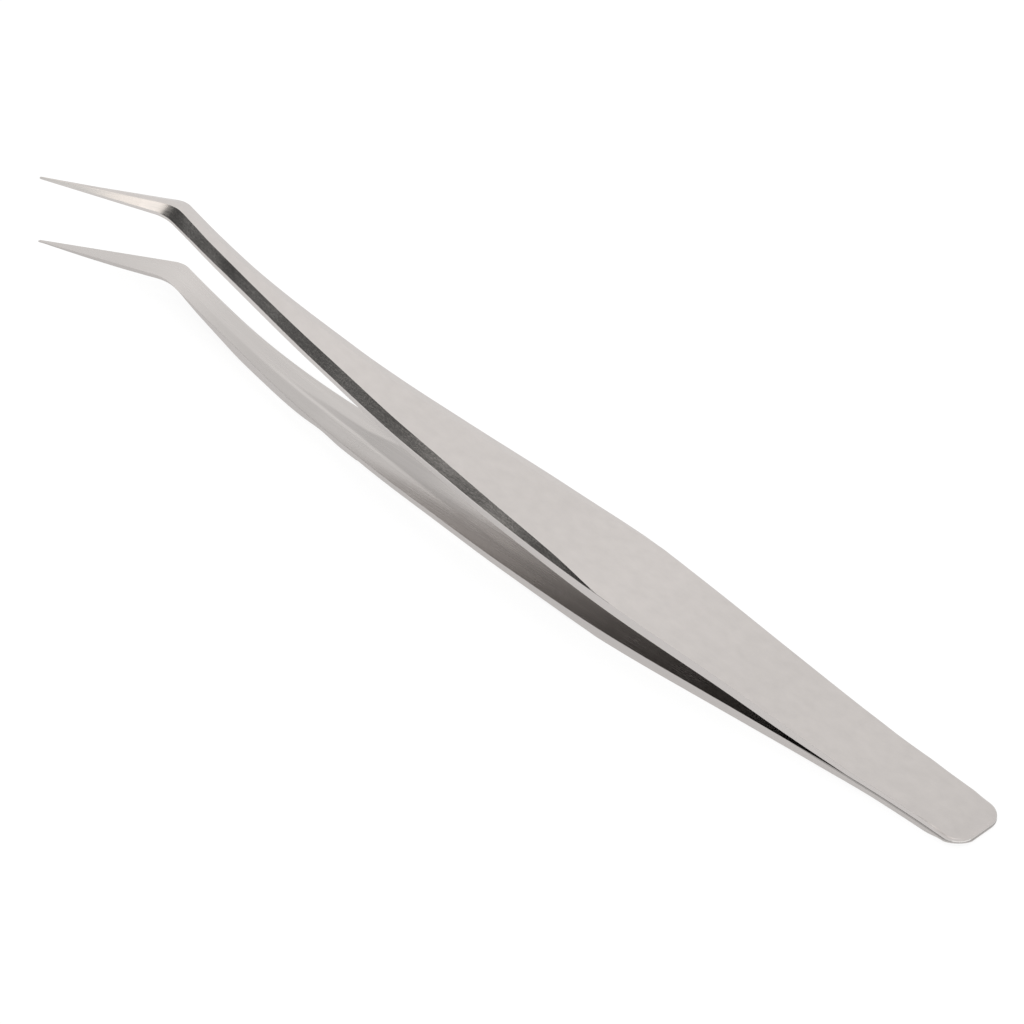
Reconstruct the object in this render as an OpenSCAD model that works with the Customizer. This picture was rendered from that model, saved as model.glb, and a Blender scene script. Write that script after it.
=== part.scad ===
// Bent-point tweezers: two mirror-image spring-steel arms joined flat to flat at the tail.
// X runs from the tail end to the points, the arms open along Z, and the points bend
// towards +Y. The origin is the middle of the tail's straight end cut, on the plane where
// the two arms meet.

/* [Overall] */
// Length from the tail end to the points
total_len = 140; // [125:1:160]
// Clear gap between the two points when nothing squeezes the arms
tip_gap = 9.2; // [6:0.2:12]

/* [Outline] */
// Width of the welded tail
tail_w = 7.4; // [6:0.1:9]
// Width at the finger grip, the widest place
grip_w = 10.5; // [9:0.1:12]
// Distance of the widest place from the tail end
grip_x = 52; // [46:1:58]
// Width of the slender shank just behind the bend
shank_w = 3.3; // [2.4:0.1:4]
// Length of the straight cut across the tail end
end_cut = 2.7; // [1:0.1:4]
// How far the shank sweeps sideways, away from the side that the points bend to
sweep = 4.8; // [0:0.1:6]
// Where along the length that sideways sweep begins
sweep_x = 85; // [76:1:95]

/* [Strip] */
// Thickness of one arm at the welded tail
tail_t = 0.8; // [0.6:0.05:1]
// Thickness of one arm from the grip to the bend
arm_t = 1.35; // [1:0.05:1.6]
// Thickness of one arm at its point
point_t = 0.25; // [0.2:0.05:0.6]

/* [Ground bevels] */
// Width of the bevels ground along both sides of the front half
bevel_w = 1.25; // [0.6:0.05:1.4]
// Height of the upright side edge that the bevels leave
land_t = 0.7; // [0.5:0.05:0.9]

/* [Points] */
// Distance of the bend from the tail end
bend_x = 126; // [120:1:130]
// Sideways position of the points, measured from the tail's centre line
point_y = 2.4; // [0:0.1:5]
// Width of the needle point at its very end
point_w = 0.25; // [0.2:0.05:0.6]

/* [Joint of the two arms] */
// Where the welded, closed part of the tail ends and the arms begin to part
weld_end_x = 16; // [13:0.5:20]
// Distance from the tail end to the place about which each arm flexes
flex_x = 28; // [24:1:34]
// Diameter of a spot-weld nugget
nugget_d = 2.6; // [1.5:0.1:3.5]
// Thickness of a spot-weld nugget
nugget_t = 0.5; // [0.3:0.1:0.8]

/* [Hidden] */

slit = 0.06;             // clearance between a root and its blade at the flexing place
edge = 0.15;             // small broken edge left everywhere else on the outer side
end_r = (tail_w - end_cut) / 2;   // corner radius of the tail end
root_steps = 24;
blade_steps = 84;

// ---- smooth curve through stations [x, value], with no overshoot between them ----
function sec(P, i) = (P[i + 1][1] - P[i][1]) / (P[i + 1][0] - P[i][0]);
function tang(P, i) =
    i == 0 ? sec(P, 0) :
    i == len(P) - 1 ? sec(P, i - 1) :
    sec(P, i - 1) * sec(P, i) <= 0 ? 0 :
    2 / (1 / sec(P, i - 1) + 1 / sec(P, i));
function seg(P, x, i = 0) = (i >= len(P) - 2 || x < P[i + 1][0]) ? i : seg(P, x, i + 1);
function curve(P, x0) =
    let (x = min(max(x0, P[0][0]), P[len(P) - 1][0]), i = seg(P, x),
         h = P[i + 1][0] - P[i][0], s = (x - P[i][0]) / h)
    P[i][1] * (1 + 2 * s) * (1 - s) * (1 - s) + h * tang(P, i) * s * (1 - s) * (1 - s)
    + P[i + 1][1] * s * s * (3 - 2 * s) - h * tang(P, i + 1) * s * s * (1 - s);
// larger of two values, with the corner between them rounded off over k
function soft_max(a, b, k) = max(a, b) + pow(max(k - abs(a - b), 0), 2) / (4 * k);

// ---- stations that follow the dimensions above ----
width_stations = [
    [0, tail_w], [5, tail_w], [8, tail_w + 0.1], [11, tail_w + 0.26], [14, tail_w + 0.44],
    [grip_x - 20, tail_w + 0.52 * (grip_w - tail_w)],
    [grip_x, grip_w], [grip_x + 14, grip_w - 0.11 * (grip_w - shank_w)],
    [80, grip_w - 0.375 * (grip_w - shank_w)], [96, shank_w + 0.28 * (grip_w - shank_w)],
    [115, shank_w + 0.02], [bend_x + 4, shank_w]];
gap_stations = [
    [weld_end_x, 0], [20, 0.014 * tip_gap], [36, 0.109 * tip_gap], [60, 0.228 * tip_gap],
    [84, 0.348 * tip_gap], [102, 0.446 * tip_gap], [116, 0.464 * tip_gap],
    [total_len, tip_gap / 2]];
thick_stations = [
    [0, 0.6 * tail_t], [2.5, 0.7 * tail_t], [4.8, tail_t], [8, tail_t], [12, tail_t],
    [20, tail_t + 0.45 * (arm_t - tail_t)], [35, tail_t + 0.82 * (arm_t - tail_t)],
    [56, arm_t], [bend_x - 12, arm_t - 0.03], [bend_x - 4, arm_t - 0.16],
    [total_len, point_t]];
bevel_stations = [
    [52, edge], [60, 0.68 * bevel_w], [72, 0.96 * bevel_w], [84, bevel_w],
    [112, 0.88 * bevel_w], [bend_x, 0.96 * bevel_w], [total_len, 0.3 * point_w]];
land_stations = [
    [52, arm_t - edge - 0.06], [62, land_t + 0.3], [76, land_t + 0.08], [92, land_t],
    [108, land_t + 0.06], [bend_x - 12, land_t - 0.04], [bend_x - 6, 0.72 * land_t],
    [bend_x, 0.52 * land_t], [total_len, 0.4 * point_t]];

// ---- the arm's shape at a distance x from the tail end ----
function mid_y(x) = -sweep * pow(max(x - sweep_x, 0) / (bend_x - sweep_x), 1.9);
function half_w(x) = curve(width_stations, x) / 2;
function tail_half_w(x) =
    x >= end_r ? half_w(x)
    : end_cut / 2 + sqrt(max(end_r * end_r - (end_r - x) * (end_r - x), 0));
function slant(x, y0, y1) = y0 + (x - bend_x) / (total_len - bend_x) * (y1 - y0);
function near_y(x) = soft_max(mid_y(x) + half_w(x),
    slant(x, mid_y(bend_x) + half_w(bend_x), point_y + point_w / 2), 0.8);
function far_y(x) = soft_max(mid_y(x) - half_w(x),
    slant(x, mid_y(bend_x) - half_w(bend_x), point_y - point_w / 2), 0.8);
function inner_z(x) = x <= weld_end_x ? 0 : curve(gap_stations, x);
function thick(x) = curve(thick_stations, x);
function bevel(x) = x < 52 ? edge : curve(bevel_stations, x);
function land(x) = min(x < 52 ? thick(x) - edge : curve(land_stations, x), thick(x) - 0.1);

// ---- the welded rear end of an arm, as an exact solid ----
module root_side() {
    xs = [for (i = [0:root_steps]) i / root_steps * (flex_x - slit / 2)];
    n = len(xs) - 1;
    polygon(concat([for (x = xs) [x, inner_z(x)]],
                   [for (i = [0:n]) [xs[n - i], inner_z(xs[n - i]) + thick(xs[n - i])]]));
}

module root_plan() {
    xs = concat([for (i = [0:8]) end_r * (1 - cos(90 * i / 8))],
                [for (i = [1:root_steps]) end_r + i / root_steps * (flex_x - slit / 2 - end_r)]);
    n = len(xs) - 1;
    polygon(concat([for (x = xs) [x, -tail_half_w(x)]],
                   [for (i = [0:n]) [xs[n - i], tail_half_w(xs[n - i])]]));
}

module arm_root() {
    difference() {
        intersection() {
            rotate([90, 0, 0]) linear_extrude(height = 2 * grip_w, center = true) root_side();
            translate([0, 0, -1]) linear_extrude(height = 6) root_plan();
        }
        // half of each weld nugget lies in each arm
        for (x = [5.5, 11])
            translate([x, 0, -nugget_t / 2]) cylinder(h = nugget_t, d = nugget_d, $fn = 48);
    }
}

// ---- the free length of an arm: a bevelled strip that bows outwards ----
function ring(x) =
    let (a = near_y(x), b = far_y(x), z = inner_z(x), t = thick(x),
         f = min(bevel(x), (a - b) * 0.42), e = land(x), c = min(0.08, (a - b) * 0.12))
    [[x, a - c, z], [x, a, z + c], [x, a, z + e], [x, a - f, z + t],
     [x, b + f, z + t], [x, b, z + e], [x, b, z + c], [x, b + c, z]];

module arm_blade() {
    x0 = flex_x + slit / 2;
    xs = [for (i = [0:blade_steps]) x0 + (total_len - x0) * i / blade_steps];
    m = 8;
    n = len(xs);
    points = [for (x = xs) each ring(x)];
    sides = [for (i = [0:n - 2]) for (j = [0:m - 1])
        [i * m + j, i * m + (j + 1) % m, (i + 1) * m + (j + 1) % m, (i + 1) * m + j]];
    rear = [[for (j = [0:m - 1]) m - 1 - j]];
    front = [[for (j = [0:m - 1]) (n - 1) * m + j]];
    polyhedron(points = points, faces = concat(sides, rear, front), convexity = 6);
}

module nugget(x) {
    translate([x, 0, -nugget_t / 2]) cylinder(h = nugget_t, d = nugget_d, $fn = 48);
}

module upper_arm_root() { color([0.80, 0.79, 0.77]) arm_root(); }
module lower_arm_root() { color([0.72, 0.71, 0.70]) mirror([0, 0, 1]) arm_root(); }
module rear_spot_weld() { color([0.55, 0.54, 0.53]) nugget(5.5); }
module front_spot_weld() { color([0.55, 0.54, 0.53]) nugget(11); }
module upper_arm_blade() { color([0.80, 0.79, 0.77]) arm_blade(); }
module lower_arm_blade() { color([0.72, 0.71, 0.70]) mirror([0, 0, 1]) arm_blade(); }

upper_arm_root();
lower_arm_root();
front_spot_weld();
rear_spot_weld();
upper_arm_blade();
lower_arm_blade();
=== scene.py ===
import math

import bpy
import numpy as np
from mathutils import Matrix, Vector


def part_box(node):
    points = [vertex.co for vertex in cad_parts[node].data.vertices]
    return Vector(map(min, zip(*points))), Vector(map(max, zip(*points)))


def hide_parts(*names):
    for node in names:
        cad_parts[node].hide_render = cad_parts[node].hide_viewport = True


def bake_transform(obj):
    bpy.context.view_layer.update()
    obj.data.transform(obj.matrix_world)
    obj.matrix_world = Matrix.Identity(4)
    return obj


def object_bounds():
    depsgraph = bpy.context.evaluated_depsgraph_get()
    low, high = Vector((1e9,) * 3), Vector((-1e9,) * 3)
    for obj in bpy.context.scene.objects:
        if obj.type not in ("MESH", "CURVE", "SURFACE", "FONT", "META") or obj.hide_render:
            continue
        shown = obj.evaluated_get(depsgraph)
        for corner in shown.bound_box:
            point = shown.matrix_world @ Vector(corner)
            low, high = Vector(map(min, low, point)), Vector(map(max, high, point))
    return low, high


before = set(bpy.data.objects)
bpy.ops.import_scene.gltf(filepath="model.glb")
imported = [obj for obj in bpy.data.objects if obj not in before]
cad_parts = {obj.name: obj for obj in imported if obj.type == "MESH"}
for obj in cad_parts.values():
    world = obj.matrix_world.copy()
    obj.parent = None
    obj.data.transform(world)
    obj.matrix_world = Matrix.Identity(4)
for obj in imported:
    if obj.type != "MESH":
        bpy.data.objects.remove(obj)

cad_lo, cad_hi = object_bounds()

# Everything below is worked out in millimetres of a 140 mm long pair, and K turns that
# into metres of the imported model.
K = (cad_hi.x - cad_lo.x) / 140.0
root_lo, root_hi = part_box("upper_arm_root")
blade_lo, blade_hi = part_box("upper_arm_blade")

# ------------------------------------------------------------------ the arm's own rules
TOTAL = 140.0
TIP_GAP = 2.0 * 4.6
TAIL_W = 7.4
GRIP_W, SHANK_W, END_CUT = 10.5, 3.3, 3.0
SWEEP, SWEEP_X, BEND_X = 4.8, 85.0, 126.0
TAIL_T, ARM_T, POINT_T = 0.8, 1.35, 0.25
BEVEL_W, LAND_T = 1.25, 0.7
POINT_Y, POINT_W = 2.4, 0.25
WELD_END = 16.0
EDGE = 0.015
END_R = (TAIL_W - END_CUT) / 2

WIDTH = [[0, TAIL_W], [5, TAIL_W], [8, TAIL_W + 0.1], [11, TAIL_W + 0.26], [14, TAIL_W + 0.44],
         [32, TAIL_W + 0.52 * (GRIP_W - TAIL_W)], [52, GRIP_W],
         [66, GRIP_W - 0.11 * (GRIP_W - SHANK_W)], [80, GRIP_W - 0.375 * (GRIP_W - SHANK_W)],
         [96, SHANK_W + 0.28 * (GRIP_W - SHANK_W)], [115, SHANK_W + 0.02], [130, SHANK_W]]
GAP = [[WELD_END, 0], [20, 0.014 * TIP_GAP], [36, 0.109 * TIP_GAP], [60, 0.228 * TIP_GAP],
       [84, 0.348 * TIP_GAP], [102, 0.446 * TIP_GAP], [116, 0.464 * TIP_GAP],
       [TOTAL, TIP_GAP / 2]]
THICK = [[0, 0.6 * TAIL_T], [2.5, 0.7 * TAIL_T], [4.8, TAIL_T], [8, TAIL_T], [12, TAIL_T],
         [20, TAIL_T + 0.45 * (ARM_T - TAIL_T)], [35, TAIL_T + 0.82 * (ARM_T - TAIL_T)],
         [56, ARM_T], [114, ARM_T - 0.03], [122, ARM_T - 0.16], [TOTAL, POINT_T]]
# how far the rounding of the outer edges reaches in at the rear
ROUND = [[0, 0.20], [3, 0.18], [5, 0.06], [12, EDGE], [18, EDGE]]
# the hand-ground side edge of the lower arm is a little uneven
UNEVEN = [[88, 0], [92.9, 0.12], [96.4, -0.13], [100, 0.17], [103.7, 0.36], [107.5, 0.42],
          [111.2, 0.50], [115.1, 0.28], [118.9, 0.03], [121.2, -0.18], [123.5, -0.48],
          [125.7, -0.13], [127.2, 0.10], [128.6, 0.15], [131.3, 0.22], [133.9, 0.22],
          [136.6, 0.16], [TOTAL, 0]]
BEVEL = [[52, EDGE], [60, 0.68 * BEVEL_W], [72, 0.98 * BEVEL_W], [84, 1.05 * BEVEL_W],
         [98, 0.97 * BEVEL_W], [112, 0.86 * BEVEL_W], [119, 0.88 * BEVEL_W],
         [122, 0.96 * BEVEL_W], [125, 1.07 * BEVEL_W], [127, 0.93 * BEVEL_W],
         [TOTAL, 0.3 * POINT_W]]
LAND = [[52, ARM_T - EDGE - 0.06], [62, LAND_T + 0.3], [76, LAND_T + 0.08], [92, LAND_T],
        [108, LAND_T + 0.06], [114, LAND_T - 0.04], [118, 0.78 * LAND_T], [122, 0.74 * LAND_T],
        [125, 0.67 * LAND_T], [TOTAL, 0.4 * POINT_T]]
# the same on the side away from the points
LAND_FAR = LAND[:6] + [[120, 0.72 * LAND_T], [125.6, 0.60 * LAND_T], [128, 0.45 * LAND_T],
                       [130.4, 0.38 * LAND_T], [134.5, 0.22 * LAND_T], [TOTAL, 0.3 * POINT_T]]
# and the upper arm's near bevel is ground a little deeper
DEEPER = [[88, 0], [97, 0.11], [104, 0.11], [112, 0.05], [117, 0.03], [120, 0.05], [123, 0.15], [126, 0.10],
          [129, 0]]
# hundredths that hand finishing took off each side of the outline
TRIM_NEAR = [[84, 0], [93, 0.10], [97, 0.09], [101, 0.03], [108, 0], [112, 0.01], [115.5, 0.05],
             [119.3, 0.10], [121.6, 0.13], [123.8, 0.10], [126, 0]]
TRIM_FAR = [[3, 0], [5, 0.08], [8, 0.07], [11, 0], [15, 0], [22, 0.08], [31, 0.12], [40, 0.14],
            [46.3, 0.16], [49.3, 0.13], [52.4, 0.05], [55.4, -0.03], [58.3, -0.02], [61, 0.02],
            [67, 0.06], [75, 0.05], [81, 0.01], [87, -0.05], [90, -0.05], [95, 0]]


def secant(p, i):
    return (p[i + 1][1] - p[i][1]) / (p[i + 1][0] - p[i][0])


def tangent(p, i):
    if i == 0:
        return secant(p, 0)
    if i == len(p) - 1:
        return secant(p, i - 1)
    a, b = secant(p, i - 1), secant(p, i)
    return 0.0 if a * b <= 0 else 2 / (1 / a + 1 / b)


def curve(p, x):
    x = min(max(x, p[0][0]), p[-1][0])
    i = 0
    while i < len(p) - 2 and x >= p[i + 1][0]:
        i += 1
    h = p[i + 1][0] - p[i][0]
    s = (x - p[i][0]) / h
    return (p[i][1] * (1 + 2 * s) * (1 - s) ** 2 + h * tangent(p, i) * s * (1 - s) ** 2
            + p[i + 1][1] * s * s * (3 - 2 * s) - h * tangent(p, i + 1) * s * s * (1 - s))


def soft_max(a, b, k):
    return max(a, b) + max(k - abs(a - b), 0) ** 2 / (4 * k)


def mid_y(x):
    return -SWEEP * (max(x - SWEEP_X, 0) / (BEND_X - SWEEP_X)) ** 1.9


def half_w(x):
    return curve(WIDTH, x) / 2


def slant(x, y0, y1):
    return y0 + (x - BEND_X) / (TOTAL - BEND_X) * (y1 - y0)


def near_y(x):
    return soft_max(mid_y(x) + half_w(x),
                    slant(x, mid_y(BEND_X) + half_w(BEND_X), POINT_Y + POINT_W / 2), 0.8)


def far_y(x):
    return soft_max(mid_y(x) - half_w(x),
                    slant(x, mid_y(BEND_X) - half_w(BEND_X), POINT_Y - POINT_W / 2), 0.8)


def inner_z(x):
    return 0.0 if x <= WELD_END else curve(GAP, x)


def thick(x):
    return curve(THICK, x)


def bevel(x):
    return curve(ROUND, x) if x < 52 else curve(BEVEL, x)


def land(x, away=False):
    return min(thick(x) - curve(ROUND, x) if x < 52 else curve(LAND_FAR if away else LAND, x),
               thick(x) - 0.04)


def aside(x):
    """The welded end sits a hair off the centre line."""
    return 0.1 * (1 - smooth(x, 10, 17))


def smooth(x, a, b):
    t = min(max((x - a) / (b - a), 0.0), 1.0)
    return t * t * (3 - 2 * t)


# ------------------------------------------------------------------ the side's rounded profile
FLAT, GROUND, SIDE, INNER, AWAY, POINT, PAINTED_GLINT = 0, 1, 2, 3, 4, 5, 6


def rounded(p0, p1, p2, radius, n):
    """The corner at p1 rounded off: n + 1 points of an arc that touches both legs."""
    a = ((p0[0] - p1[0]), (p0[1] - p1[1]))
    b = ((p2[0] - p1[0]), (p2[1] - p1[1]))
    la, lb = math.hypot(*a), math.hypot(*b)
    a, b = (a[0] / la, a[1] / la), (b[0] / lb, b[1] / lb)
    half = math.acos(max(-1.0, min(1.0, a[0] * b[0] + a[1] * b[1]))) / 2
    t = min(radius / math.tan(half), 0.46 * la, 0.46 * lb)
    r = t * math.tan(half)
    m = (a[0] + b[0], a[1] + b[1])
    lm = math.hypot(*m)
    c = (p1[0] + m[0] / lm * r / math.sin(half), p1[1] + m[1] / lm * r / math.sin(half))
    s = (p1[0] + a[0] * t - c[0], p1[1] + a[1] * t - c[1])
    e = (p1[0] + b[0] * t - c[0], p1[1] + b[1] * t - c[1])
    turn = math.atan2(s[0] * e[1] - s[1] * e[0], s[0] * e[0] + s[1] * e[1])
    out = []
    for i in range(n + 1):
        w = turn * i / n
        out.append((c[0] + s[0] * math.cos(w) - s[1] * math.sin(w),
                    c[1] + s[0] * math.sin(w) + s[1] * math.cos(w)))
    return out


def straight(p, q, cuts, hold=0.03):
    """Points between p and q, with one close to each end so that the flat stays flat."""
    length = math.hypot(q[0] - p[0], q[1] - p[1])
    h = min(hold, 0.12 * length) / max(length, 1e-9)
    ts = [h] + [h + (1 - 2 * h) * (i + 1) / (cuts + 1) for i in range(cuts)] + [1 - h]
    return [(p[0] + (q[0] - p[0]) * t, p[1] + (q[1] - p[1]) * t) for t in ts]


def side_profile(x, width, lower, away=False):
    """Points (inset from the side, height above the inner plane, region of the span that
    follows) from the inner face round the side edge and the bevel to the outer flat."""
    t, e = thick(x), land(x, away)
    if lower and x > 90 and not away:
        e = max(min(e + curve(UNEVEN, x), t - 0.08), min(0.03, 0.5 * e))
    elif not away:
        e -= curve(DEEPER, x)
    f = min(bevel(x), 0.42 * width)
    r_in = min(0.16 - 0.14 * smooth(x, 17, 27), 0.3 * width)
    a, b, c = (0.0, 0.0), (0.0, e), (f, t)
    deep = max(min(0.5 * width - f, 0.9), 0.02)
    p_in = (min(0.4, 0.4 * width), 0.0)
    p_top = (f + deep, t)
    r_land = r_top = 0.015 + 0.075 * smooth(x, 48, 58) + 2.0 * (
        1 - (smooth(x, 1.2, 3.6) if lower and not away else smooth(x, 3, 6)))
    A = rounded(p_in, a, b, r_in, 5)
    B = rounded(a, b, c, r_land, 6)
    C = rounded(b, c, p_top, r_top, 6)
    pts = [(A[0][0] + min(0.03, 0.1 * p_in[0]), 0.0, INNER)]
    dark_to = 5 if x < 24 else 2
    pts += [(q[0], q[1], INNER if i < dark_to else SIDE) for i, q in enumerate(A)]
    pts += [(q[0], q[1], SIDE) for q in straight(A[-1], B[0], 2)]
    slope_tag = POINT if x > 125.5 else GROUND if x > 50 else FLAT
    pts += [(q[0], q[1], SIDE if i < 3 else slope_tag) for i, q in enumerate(B)]
    pts += [(q[0], q[1], slope_tag) for q in straight(B[-1], C[0], 3)]
    pts += [(q[0], q[1], slope_tag if i < 3 else FLAT) for i, q in enumerate(C)]
    pts.append((C[-1][0] + min(0.03, 0.1 * deep), t, FLAT))
    return pts


ACROSS = 32          # points across each flat face
JOIN_X = 3.0         # the rounded tail end is a patch of its own up to here
NOSE = 0.26          # length of the rounded end of a point


def stations():
    xs, x = [], JOIN_X
    while x < TOTAL - NOSE - 1e-6:
        xs.append(x)
        x += 0.16 if 117 < x < 133 else 0.42
    xs.append(TOTAL - NOSE)
    return xs


def build_arm(name, lower):
    verts, faces, regions, uvs = [], [], [], []
    uv_of = []

    def add(p, u, v):
        verts.append(p)
        uv_of.append((u, v))
        return len(verts) - 1

    def quad(ids, region):
        ids = [i for k, i in enumerate(ids) if i != ids[k - 1]]
        if len(set(ids)) < 3:
            return
        faces.append(ids)
        regions.append(region)

    def ring_points(x):
        ya = near_y(x) - aside(x) - curve(TRIM_NEAR, x)
        yb = far_y(x) - aside(x) + curve(TRIM_FAR, x)
        z = inner_z(x)
        prof = side_profile(x, ya - yb, lower)
        prof_far = side_profile(x, ya - yb, lower, True)
        ym = (ya + yb) / 2
        near = [(x, ya - d, z + h, r) for d, h, r in prof]
        far = [(x, yb + d, z + h, r) for d, h, r in reversed(prof_far)]
        # region tags on the far side belong to the span after the point, so shift them
        tags = [p[2] for p in reversed(prof)]
        far_tags = [AWAY if t in (GROUND, POINT) else t for t in tags[1:]] + [INNER]
        far = [(q[0], q[1], q[2], far_tags[i]) for i, q in enumerate(far)]
        a, b = near[-1], far[0]
        top = [(x, a[1] + (b[1] - a[1]) * (i + 1) / (ACROSS + 1), z + thick(x), FLAT)
               for i in range(ACROSS)]
        a, b = far[-1], near[0]
        low = [(x, a[1] + (b[1] - a[1]) * (i + 1) / (ACROSS + 1), z, INNER)
               for i in range(ACROSS)]
        return near + top + far + low, ym, len(prof)

    def uv_for(p, ym, x0):
        return (x0, p[1] - ym + 0.6 * p[2])

    rows, row_tags = [], []
    xs = stations()
    for x in xs:
        pts, ym, n_prof = ring_points(x)
        rows.append([add(p[:3], x, p[1] - ym) for p in pts])
        row_tags.append([p[3] for p in pts])
    # rounded point
    base, ym, _ = ring_points(TOTAL - NOSE)
    bx = TOTAL - NOSE
    cz = inner_z(bx) + thick(bx) / 2
    for k in range(1, 7):
        a = math.pi / 2 * k / 6.6
        x = bx + NOSE * math.sin(a)
        s = math.cos(a) ** 0.8
        dy = (near_y(x) + far_y(x)) / 2 - ym
        dz = inner_z(x) + thick(x) / 2 - cz
        rows.append([add((x, ym + dy + (p[1] - ym) * s, cz + dz + (p[2] - cz) * s), x, p[1] - ym)
                     for p in base])
    n = len(rows[0])
    for i in range(len(rows) - 1):
        for j in range(n):
            k = (j + 1) % n
            quad([rows[i][j], rows[i][k], rows[i + 1][k], rows[i + 1][j]],
                 row_tags[min(i, len(row_tags) - 1)][j])
    tip = add((TOTAL, (near_y(TOTAL) + far_y(TOTAL)) / 2, inner_z(TOTAL) + thick(TOTAL) / 2),
              TOTAL, 0)
    for j in range(n):
        quad([rows[-1][j], rows[-1][(j + 1) % n], tip], FLAT)

    # rounded tail end: the same profile carried round the outline
    first = rows[0]
    near_ids = first[:n_prof]
    top_ids = first[n_prof:n_prof + ACROSS]
    far_ids = first[n_prof + ACROSS:2 * n_prof + ACROSS]
    low_ids = first[2 * n_prof + ACROSS:]
    outline = []                     # (x, y, inward x, inward y)
    arc = (ACROSS - 6) // 2
    outline.append(((JOIN_X + END_R) / 2, TAIL_W / 2, 0.0, -1.0))
    for i in range(arc + 1):
        a = math.pi / 2 * i / arc
        outline.append((END_R - END_R * math.sin(a), END_CUT / 2 + END_R * math.cos(a),
                        math.sin(a), -math.cos(a)))
    inner_cut = ACROSS - 2 * (arc + 2)
    for i in range(inner_cut):
        outline.append((0.0, END_CUT / 2 - END_CUT * (i + 1) / (inner_cut + 1), 1.0, 0.0))
    for q in reversed(outline[:arc + 2]):
        outline.append((q[0], -q[1], q[2], -q[3]))
    assert len(outline) == ACROSS
    columns = [near_ids]
    painted_glint = [False]                   # the near corner of the upper arm gets a painted glint, a lighter tone standing in for a highlight
    for ox, oy, ix, iy in outline:
        col = []
        turned = math.degrees(math.atan2(ix, -iy)) if oy > 0 else 0.0
        painted_glint.append(not lower and 26 < turned < 86)
        if lower:
            # and the lower arm's corner sits back from it
            ox += ix * 0.28 * math.sin(math.radians(2 * turned))
            oy += iy * 0.28 * math.sin(math.radians(2 * turned))
        for d, h, _ in side_profile(max(ox, 0.0), TAIL_W, lower):
            px, py = ox + ix * d - 0.15 * (1 - ox / JOIN_X), oy + iy * d - aside(0)
            hz = h * thick(max(px, 0.0)) / thick(max(ox, 0.0))
            col.append(add((px, py, hz), px, py))
        columns.append(col)
    columns.append(list(reversed(far_ids)))
    tags = [q[2] for q in side_profile(JOIN_X, TAIL_W, lower)]
    high = [q[1] / thick(JOIN_X) for q in side_profile(JOIN_X, TAIL_W, lower)]
    painted_glint.append(False)
    for i in range(len(columns) - 1):
        for j in range(n_prof - 1):
            # painted glint: the middle of the side wall between these columns gets the lighter steel
            bright = painted_glint[i] and painted_glint[i + 1] and 0.22 < high[j] and high[j + 1] < 0.72
            quad([columns[i][j], columns[i + 1][j], columns[i + 1][j + 1], columns[i][j + 1]],
                 PAINTED_GLINT if bright else tags[j])
    for level, line, region, flip in ((n_prof - 1, [near_ids[-1]] + top_ids + [far_ids[0]], FLAT, False),
                                      (0, [near_ids[0]] + low_ids[::-1] + [far_ids[-1]], INNER, True)):
        rim = [c[level] for c in columns]
        before = line
        steps = 9
        for s in range(1, steps + 1):
            if s == steps:
                row = rim
            else:
                row = []
                for i in range(len(line)):
                    if i in (0, len(line) - 1):
                        row.append(line[i])
                        continue
                    p, q = verts[line[i]], verts[rim[i]]
                    w = s / steps
                    x = p[0] + (q[0] - p[0]) * w
                    y = p[1] + (q[1] - p[1]) * w
                    z = thick(x) if region == FLAT else 0.0
                    row.append(add((x, y, z), x, y))
            for i in range(len(line) - 1):
                ids = [before[i], before[i + 1], row[i + 1], row[i]]
                quad(ids if flip else ids[::-1], region)
            before = row

    side = -1.0 if lower else 1.0
    co = [(p[0] * K, p[1] * K, p[2] * K * side) for p in verts]
    if lower:
        faces = [f[::-1] for f in faces]
    mesh = bpy.data.meshes.new(name)
    mesh.from_pydata(co, [], faces)
    assert not mesh.validate(), "the mesh had faults"
    layer = mesh.uv_layers.new(name="grain")
    for poly in mesh.polygons:
        for li in poly.loop_indices:
            vi = mesh.loops[li].vertex_index
            u, v = uv_of[vi]
            r = regions[poly.index]
            if r == SIDE:
                v = 40 + verts[vi][2]
            elif r == INNER:
                v = 80 + v
            layer.data[li].uv = (u * 0.01, v * 0.01)
    for poly in mesh.polygons:
        poly.material_index = regions[poly.index]
        poly.use_smooth = True
    obj = bpy.data.objects.new(name, mesh)
    bpy.context.scene.collection.objects.link(obj)
    return obj


# ------------------------------------------------------------------ materials
class Nodes:
    def __init__(self, material):
        material.use_nodes = True
        self.tree = material.node_tree
        self.tree.nodes.clear()

    def add(self, kind, **values):
        node = self.tree.nodes.new(kind)
        for key, value in values.items():
            if hasattr(node, key):
                setattr(node, key, value)
            else:
                node.inputs[key].default_value = value
        return node

    def link(self, a, out, b, into):
        self.tree.links.new(a.outputs[out], b.inputs[into])


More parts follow.
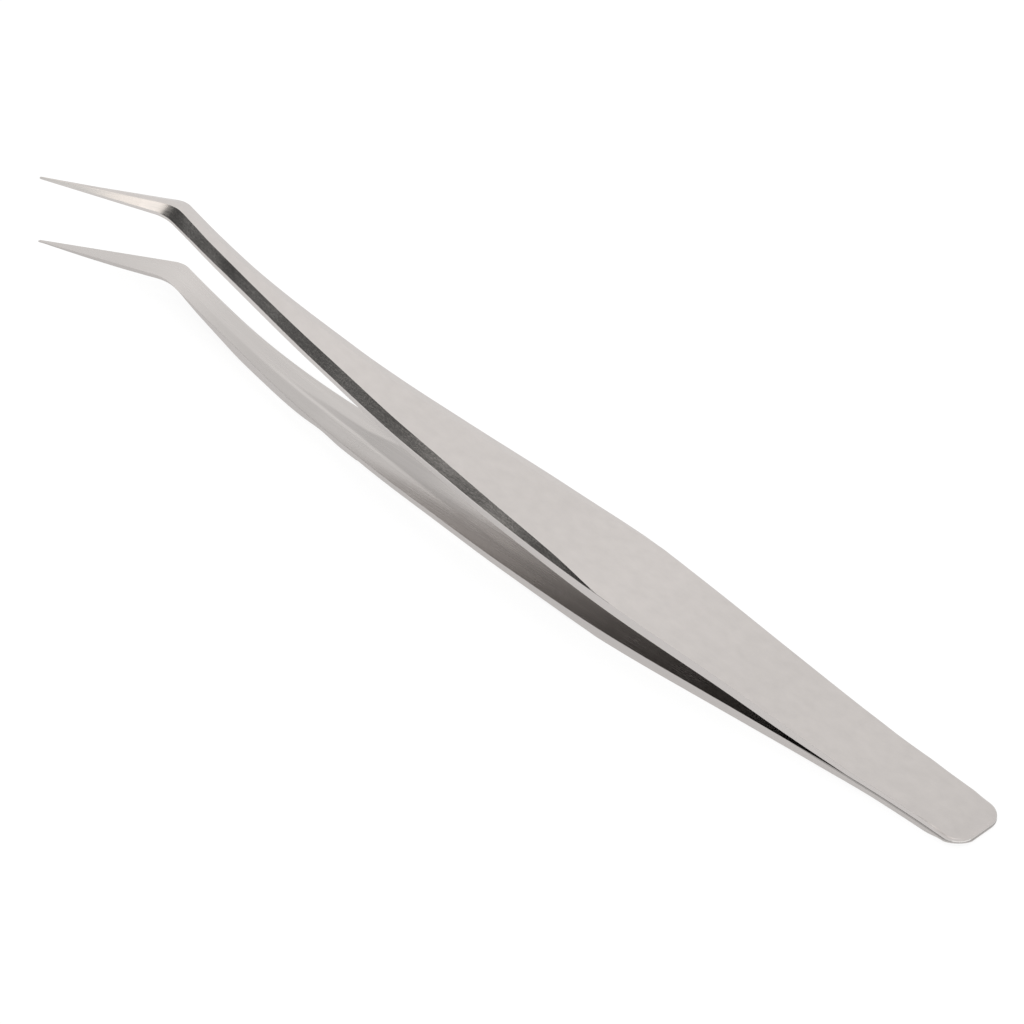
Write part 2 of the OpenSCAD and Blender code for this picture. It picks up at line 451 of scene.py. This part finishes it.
def steel(name, tone, rough, streak=0.0, blotch=0.0, grain=0.0, streak_bump=0.0,
          grain_bump=0.0, streak_scale=(3.0, 700.0), grain_scale=1400.0, rough_swing=0.06,
          seed=0.0, aniso=0.0, blotch_scale=(14.0, 22.0), along=((0, 1.0), (140, 1.0)),
          bump_along=None, bands=0.0, calm=None, line_and_wedge=None):
    m = bpy.data.materials.new(name)
    n = Nodes(m)
    out = n.add("ShaderNodeOutputMaterial")
    bsdf = n.add("ShaderNodeBsdfPrincipled")
    bsdf.inputs["Metallic"].default_value = 1.0
    bsdf.inputs["Anisotropic"].default_value = aniso
    n.link(bsdf, 0, out, 0)
    uv = n.add("ShaderNodeUVMap")
    uv.uv_map = "grain"

    def noise(scale_u, scale_v, detail, rough_, offset):
        mp = n.add("ShaderNodeMapping")
        mp.inputs["Location"].default_value = (offset, offset * 0.37 + seed, seed)
        mp.inputs["Scale"].default_value = (scale_u, scale_v, 1.0)
        n.link(uv, 0, mp, 0)
        t = n.add("ShaderNodeTexNoise")
        t.inputs["Scale"].default_value = 1.0
        t.inputs["Detail"].default_value = detail
        t.inputs["Roughness"].default_value = rough_
        n.link(mp, 0, t, "Vector")
        return t

    streaks = noise(streak_scale[0], streak_scale[1], 4.0, 0.6, 3.1)
    blotches = noise(blotch_scale[0], blotch_scale[1], 3.0, 0.55, 11.7)
    grains = noise(grain_scale * 0.6, grain_scale, 2.0, 0.6, 23.9)
    broad = noise(1.3, 95.0, 2.0, 0.5, 31.3)

    # colour: tone multiplied by the three patterns
    def swing(tex, amount):
        r = n.add("ShaderNodeMapRange")
        r.inputs["From Min"].default_value = 0.28
        r.inputs["From Max"].default_value = 0.72
        r.inputs["To Min"].default_value = 1.0 - amount
        r.inputs["To Max"].default_value = 1.0 + amount
        n.link(tex, "Fac", r, "Value")
        return r

    parts = [swing(t, a) for t, a in ((streaks, streak), (blotches, blotch), (grains, grain))]
    m1 = n.add("ShaderNodeMath", operation="MULTIPLY")
    n.link(parts[0], 0, m1, 0)
    n.link(parts[1], 0, m1, 1)
    m3 = n.add("ShaderNodeMath", operation="MULTIPLY")
    n.link(m1, 0, m3, 0)
    n.link(swing(broad, bands), 0, m3, 1)
    m2 = n.add("ShaderNodeMath", operation="MULTIPLY")
    n.link(m3, 0, m2, 0)
    n.link(parts[2], 0, m2, 1)
    shade = n.add("ShaderNodeVectorMath", operation="SCALE")
    shade.inputs[0].default_value = tone
    last = shade
    lengthwise = n.add("ShaderNodeSeparateXYZ")
    n.link(uv, 0, lengthwise, 0)

    def ramp(stops, top):
        """A grey value along the arm, as a fraction of its top value."""
        place = n.add("ShaderNodeMapRange")
        place.inputs["From Max"].default_value = 1.4
        n.link(lengthwise, 0, place, "Value")
        r = n.add("ShaderNodeValToRGB")
        el = r.color_ramp.elements
        while len(el) < len(stops):
            el.new(0.5)
        for e, (x, f) in zip(el, stops):
            e.position = x / 140.0
        for e, (x, f) in zip(el, stops):
            e.color = (f / top, f / top, f / top, 1)
        n.link(place, 0, r, 0)
        return r

    if calm:
        # how much of the pattern shows along the arm
        ease = n.add("ShaderNodeMix")
        ease.data_type = "FLOAT"
        ease.inputs[2].default_value = 1.0
        n.link(ramp(calm, 1.0), 0, ease, 0)
        n.link(m2, 0, ease, 3)
        n.link(ease, 0, shade, "Scale")
    else:
        n.link(m2, 0, shade, "Scale")
    if line_and_wedge:
        # a thin line running along the face, a wedge on one side of it and the fields on
        # either side, each made lighter or darker by an amount set along the arm
        def math_(operation, a, b, slot_b=0):
            q = n.add("ShaderNodeMath", operation=operation)
            for k, value in ((0, a), (1, b)):
                if isinstance(value, (int, float)):
                    q.inputs[k].default_value = value
                else:
                    n.link(value, 0, q, k)
            return q

        def soft(value, a, b):
            q = n.add("ShaderNodeMapRange")
            q.interpolation_type = "SMOOTHSTEP"
            q.inputs["From Min"].default_value = a
            q.inputs["From Max"].default_value = b
            n.link(value, 0, q, "Value")
            return q

        def along_arm(stops, low, high):
            scaled = [(x, (f - low) / (high - low)) for x, f in stops]
            q = n.add("ShaderNodeMapRange")
            q.inputs["To Min"].default_value = low
            q.inputs["To Max"].default_value = high
            n.link(ramp(scaled, 1.0), 0, q, "Value")
            return q

        across = n.add("ShaderNodeMath", operation="MULTIPLY_ADD")
        across.inputs[1].default_value = 100.0
        across.inputs[2].default_value = -80.0
        n.link(lengthwise, 1, across, 0)
        t = math_("SUBTRACT", across, along_arm(line_and_wedge["line"], 0.0, 4.0))
        off = math_("ABSOLUTE", t, 0.0)
        line = math_("SUBTRACT", 1.0, soft(off, 0.03, 0.32))
        below = soft(t, -0.1, 0.3)
        edge_t = math_("ADD", t, along_arm(line_and_wedge["wedge"], 0.0, 6.0))
        wedge = math_("SUBTRACT", soft(edge_t, -0.2, 0.2), soft(t, -0.4, -0.1))
        above = math_("SUBTRACT", 1.0, soft(edge_t, -0.2, 0.2))
        total = math_("ADD", 1.0, math_("MULTIPLY", line,
                                        along_arm(line_and_wedge["line_by"], -0.5, 0.5)))
        for part, key in ((below, "below_by"), (wedge, "wedge_by"), (above, "above_by")):
            total = math_("ADD", total, math_("MULTIPLY", part,
                                              along_arm(line_and_wedge[key], -0.5, 0.5)))
        scaled = n.add("ShaderNodeVectorMath", operation="SCALE")
        n.link(shade, 0, scaled, 0)
        n.link(total, 0, scaled, "Scale")
        last = scaled
    # the along ramp scales the tone down the arm: painted light and shade, lighter and darker where the
    # studio's reflections fall on each face
    top = max(f for _, f in along)
    shade.inputs[0].default_value = tuple(c * top for c in tone)
    toned = n.add("ShaderNodeVectorMath", operation="MULTIPLY")
    n.link(last, 0, toned, 0)
    n.link(ramp(along, top), 0, toned, 1)
    n.link(toned, 0, bsdf, "Base Color")

    # roughness: streaks and blotches
    mix = n.add("ShaderNodeMath", operation="ADD")
    n.link(streaks, "Fac", mix, 0)
    n.link(blotches, "Fac", mix, 1)
    rr = n.add("ShaderNodeMapRange")
    rr.inputs["From Min"].default_value = 0.6
    rr.inputs["From Max"].default_value = 1.4
    rr.inputs["To Min"].default_value = rough - rough_swing
    rr.inputs["To Max"].default_value = rough + rough_swing
    n.link(mix, 0, rr, "Value")
    n.link(rr, 0, bsdf, "Roughness")

    # bump: grinding lines and fine grain
    b1 = n.add("ShaderNodeBump")
    b1.inputs["Strength"].default_value = streak_bump
    b1.inputs["Distance"].default_value = 0.00002
    n.link(streaks, "Fac", b1, "Height")
    if bump_along:
        low = max(f for _, f in bump_along)
        size = n.add("ShaderNodeMath", operation="MULTIPLY")
        size.inputs[1].default_value = streak_bump * low
        n.link(ramp(bump_along, low), 0, size, 0)
        n.link(size, 0, b1, "Strength")
    b2 = n.add("ShaderNodeBump")
    b2.inputs["Strength"].default_value = grain_bump
    b2.inputs["Distance"].default_value = 0.00002
    n.link(grains, "Fac", b2, "Height")
    n.link(b1, 0, b2, "Normal")
    n.link(b2, 0, bsdf, "Normal")
    return m


# In the materials below, each along ramp is painted light and shade: the tone rises and falls along the arm
# where reflections brighten or darken the face.
M_FLAT = steel("satin_outer_face", (0.545, 0.514, 0.496), 0.34, streak=0.012, blotch=0.04,
               grain=0.01, streak_bump=0.10, grain_bump=0.05, blotch_scale=(50.0, 70.0),
               along=((0, 0.90), (8, 0.925), (19, 0.945), (31, 0.94), (43, 0.98), (52, 1.005),
                      (64, 0.98), (75, 0.99), (87, 1.0), (97, 1.04), (109, 1.02), (140, 1.02)))
M_GROUND = steel("ground_bevel", (0.52, 0.50, 0.48), 0.20, streak=0.04, blotch=0.05, grain=0.26,
                 streak_bump=0.15, grain_bump=0.40, grain_scale=480.0, seed=4.0,
                 along=((0, 0.42), (56, 0.45), (61, 0.62), (68, 1.30), (76, 1.60), (84, 1.18),
                        (98, 1.15), (106, 1.25), (112, 0.85), (117, 0.63), (121, 0.46), (125, 0.75),
                        (127, 1.0), (140, 1.0)))
M_POINT = steel("ground_bevel_of_the_point", (0.52, 0.50, 0.48), 0.20, streak=0.05, blotch=0.04,
                grain=0.04, streak_bump=0.45, grain_bump=0.10, seed=4.0, streak_scale=(6.0, 420.0),
                along=((0, 1.0), (127, 1.0), (134, 0.985), (140, 0.96)))
# a lighter steel for a painted glint on the upper arm's near tail corner, standing in for a highlight
M_PAINTED_GLINT = steel("painted_glint_corner", (0.72, 0.695, 0.675), 0.30, streak=0.02, blotch=0.03, grain=0.03,
               streak_bump=0.05, grain_bump=0.05, seed=20.0)
M_AWAY = steel("ground_bevel_on_the_far_side", (0.53, 0.50, 0.483), 0.34, streak=0.012,
               blotch=0.03, grain=0.03, streak_bump=0.10, grain_bump=0.10, seed=6.0,
               blotch_scale=(50.0, 70.0))
SIDE_TONE = (0.575, 0.545, 0.53)
M_SIDE = steel("side_edge", SIDE_TONE, 0.36, streak=0.02, blotch=0.02, grain=0.03,
               streak_bump=0.10, grain_bump=0.15, seed=8.0,
               along=((0, 0.98), (43, 0.96), (55, 0.94), (64, 0.88), (73, 0.86), (85, 0.88),
                      (100, 0.98), (140, 1.0)))
# a darker copy of the side edge for the lower arm: painted shade standing in for the shadowed table it
# reflects
M_SIDE_LOW = steel("side_edge_of_lower_arm_painted_shade", SIDE_TONE, 0.36, streak=0.02, blotch=0.02,
                   grain=0.03, streak_bump=0.10, grain_bump=0.15, seed=8.0,
                   along=((0, 0.86), (30, 0.88), (60, 0.85), (100, 0.86), (112, 0.89), (127, 0.86),
                          (140, 0.82)))
M_INNER = steel("inner_face", (0.540, 0.513, 0.496), 0.25, streak=0.035, blotch=0.02, grain=0.01,
                streak_bump=0.30, grain_bump=0.05, seed=12.0, rough_swing=0.07, bands=0.07,
                along=((0, 0.60), (20, 0.58), (27, 0.58), (36, 0.64), (47, 0.66), (56, 0.74), (65, 0.76),
                       (73, 0.84), (82, 0.79), (91, 0.80), (97, 0.90), (108, 0.925),
                       (117, 0.95), (124, 1.04), (131, 0.95), (140, 0.94)),
                bump_along=((0, 1.0), (85, 1.0), (97, 0.4), (108, 0.08), (140, 0.03)),
                calm=((0, 1.0), (95, 1.0), (108, 0.5), (118, 0.2), (140, 0.15)),
                line_and_wedge={
                    "line": ((60, 3.7), (70, 2.75), (77.7, 2.07), (86, 1.31), (92.5, 0.68),
                             (99, 0.40), (104.3, 0.36), (112, 0.36)),
                    "wedge": ((60, 6.0), (78, 6.0), (85.6, 3.2), (92.3, 1.38), (97, 1.0),
                              (103, 0.4), (107, 0.1)),
                    "line_by": ((70, 0), (76, 0.18), (80, 0.25), (86, 0.21), (93, 0.17),
                                (97, 0.08), (105, 0.07), (112, 0)),
                    "below_by": ((60, 0), (66, 0.04), (72, 0.12), (76, 0.22), (80, 0.27),
                                 (86, 0.18), (92, 0.09), (95, 0.02), (99, -0.07),
                                 (110, -0.08), (118, -0.03), (125, 0)),
                    "wedge_by": ((58, 0), (61, 0.01), (66, 0.06), (70, 0.16), (75, 0.12), (79, 0.04),
                                 (84, -0.08), (92, -0.13),
                                 (97, -0.14), (103, -0.08), (107, 0)),
                    "above_by": ((70, 0), (80, 0.05), (86, 0.10), (92, 0.11), (97, 0.035),
                                 (106, 0)),
                })
M_WELD = steel("weld_metal", (0.32, 0.31, 0.30), 0.5, streak=0.05, blotch=0.12, grain=0.15,
               streak_bump=0.1, grain_bump=0.5, seed=16.0)

# ------------------------------------------------------------------ the two arms
for name, lower in (("upper_arm_strip", False), ("lower_arm_strip", True)):
    arm = build_arm(name, lower)
    for m in (M_FLAT, M_GROUND, M_SIDE_LOW if lower else M_SIDE, M_INNER, M_AWAY, M_POINT,
              M_PAINTED_GLINT):
        arm.data.materials.append(m)
    which = "lower" if lower else "upper"
    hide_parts(which + "_arm_root", which + "_arm_blade")
    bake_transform(arm)

for name in ("front_spot_weld", "rear_spot_weld"):
    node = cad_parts[name]
    node.data.materials.clear()
    node.data.materials.append(M_WELD)
    for poly in node.data.polygons:
        poly.use_smooth = False

# ------------------------------------------------------------------ table
xs = [i * 0.5 for i in range(0, 281)]
under = [(x, -(inner_z(x) + thick(x))) for x in xs]
area = [(near_y(x) - far_y(x)) * thick(x) for x in xs]
balance = sum(x * a for x, a in zip(xs, area)) / sum(area)
hull = []
for p in under:
    while len(hull) >= 2 and ((hull[-1][0] - hull[-2][0]) * (p[1] - hull[-2][1])
                              - (hull[-1][1] - hull[-2][1]) * (p[0] - hull[-2][0])) <= 0:
        hull.pop()
    hull.append(p)
for a, b in zip(hull, hull[1:]):
    if a[0] <= balance <= b[0]:
        rest_a, rest_b = a, b
slope = (rest_b[1] - rest_a[1]) / (rest_b[0] - rest_a[0])
print("rests on", rest_a, rest_b, "balance", balance, "slope", slope)
height = rest_a[1] - slope * rest_a[0] - 0.01
up = Vector((-slope, 0, 1)).normalized()

bm_verts, bm_faces = [], []
rings, spokes = 10, 64
for i in range(rings + 1):
    r = 3.0 * (i / rings) ** 1.5
    for j in range(spokes):
        a = 2 * math.pi * j / spokes
        x, y = 0.07 + r * math.cos(a), r * math.sin(a)
        bm_verts.append((x, y, (height * K + slope * x)))
for i in range(rings):
    for j in range(spokes):
        k = (j + 1) % spokes
        bm_faces.append([i * spokes + j, (i + 1) * spokes + j, (i + 1) * spokes + k, i * spokes + k])
table = bpy.data.meshes.new("table_top")
table.from_pydata(bm_verts, [], bm_faces)
table.validate()
floor = bpy.data.objects.new("table_top", table)
bpy.context.scene.collection.objects.link(floor)
paper = bpy.data.materials.new("pale_table")
n = Nodes(paper)
out = n.add("ShaderNodeOutputMaterial")
bsdf = n.add("ShaderNodeBsdfPrincipled")
bsdf.inputs["Base Color"].default_value = (0.16, 0.16, 0.16, 1)
bsdf.inputs["Roughness"].default_value = 0.9
bsdf.inputs["Specular IOR Level"].default_value = 0.1
bsdf.inputs["Emission Color"].default_value = (1, 1, 1, 1)
bsdf.inputs["Emission Strength"].default_value = 0.86
n.link(bsdf, 0, out, 0)
table.materials.append(paper)

# ------------------------------------------------------------------ studio
world = bpy.data.worlds.new("studio")
bpy.context.scene.world = world
world.use_nodes = True
tree = world.node_tree
tree.nodes.clear()
w_out = tree.nodes.new("ShaderNodeOutputWorld")
w_bg = tree.nodes.new("ShaderNodeBackground")
tree.links.new(w_bg.outputs[0], w_out.inputs[0])
coord = tree.nodes.new("ShaderNodeTexCoord")


def toward(direction):
    d = Vector(direction).normalized()
    node = tree.nodes.new("ShaderNodeVectorMath")
    node.operation = "DOT_PRODUCT"
    node.inputs[1].default_value = d
    tree.links.new(coord.outputs["Generated"], node.inputs[0])
    return node


def cap(direction, inner, outer):
    """1 inside a cone about the direction, falling to 0 at its outer angle."""
    dot = toward(direction)
    r = tree.nodes.new("ShaderNodeMapRange")
    r.interpolation_type = "SMOOTHSTEP"
    r.inputs["From Min"].default_value = math.cos(math.radians(outer))
    r.inputs["From Max"].default_value = math.cos(math.radians(inner))
    tree.links.new(dot.outputs["Value"], r.inputs["Value"])
    return r


dark = cap((0.58, 0.215, 0.785), 15, 22)
bright = cap((0.205, 0.165, 0.963), 10, 15)
glow = tree.nodes.new("ShaderNodeMix")
glow.data_type = "RGBA"
glow.inputs[6].default_value = (1.15, 1.15, 1.15, 1)
glow.inputs[7].default_value = (1.98, 1.87, 1.79, 1)
tree.links.new(bright.outputs[0], glow.inputs[0])
mix = tree.nodes.new("ShaderNodeMix")
mix.data_type = "RGBA"
mix.inputs[7].default_value = (0.10, 0.10, 0.10, 1)
tree.links.new(glow.outputs[2], mix.inputs[6])
tree.links.new(dark.outputs[0], mix.inputs[0])
tree.links.new(mix.outputs[2], w_bg.inputs[0])
w_bg.inputs[1].default_value = 1.0

light = bpy.data.lights.new("softbox", "AREA")
light.shape = "DISK"
light.size = 0.7
light.energy = 0.35
softbox = bpy.data.objects.new("softbox", light)
bpy.context.scene.collection.objects.link(softbox)
centre = (cad_lo + cad_hi) / 2
away = Vector((-0.05, 0.21, 0.98)).normalized()
softbox.location = centre + away * 1.3
softbox.rotation_mode = "QUATERNION"
softbox.rotation_quaternion = away.to_track_quat("Z", "Y")

# ------------------------------------------------------------------ camera
azimuth, elevation, roll = map(math.radians, (-137.93073, 42.82003, 2.83778))
back = Vector((math.sin(azimuth) * math.cos(elevation),
               -math.cos(azimuth) * math.cos(elevation), math.sin(elevation)))
right0 = Vector((math.cos(azimuth), math.sin(azimuth), 0))
up0 = back.cross(right0)
right = right0 * math.cos(roll) + up0 * math.sin(roll)
upward = up0 * math.cos(roll) - right0 * math.sin(roll)
far = 1 / 0.00054
spot = Vector((70, 0, 0)) + back * far - right * -0.332 - upward * 0.21674
cam = bpy.data.cameras.new("camera")
cam.sensor_fit = "HORIZONTAL"
cam.sensor_width = 36
cam.lens = 9.19994 * far / 1024 * 36
cam.clip_start = 0.05
cam.clip_end = 20
camera = bpy.data.objects.new("camera", cam)
bpy.context.scene.collection.objects.link(camera)
turn = Matrix((right, upward, back)).transposed().to_4x4()
camera.matrix_world = Matrix.Translation(spot * K) @ turn
bpy.context.scene.camera = camera
bpy.context.scene.view_settings.view_transform = "Standard"

# ------------------------------------------------------------------ update the view layer
bpy.context.view_layer.update()
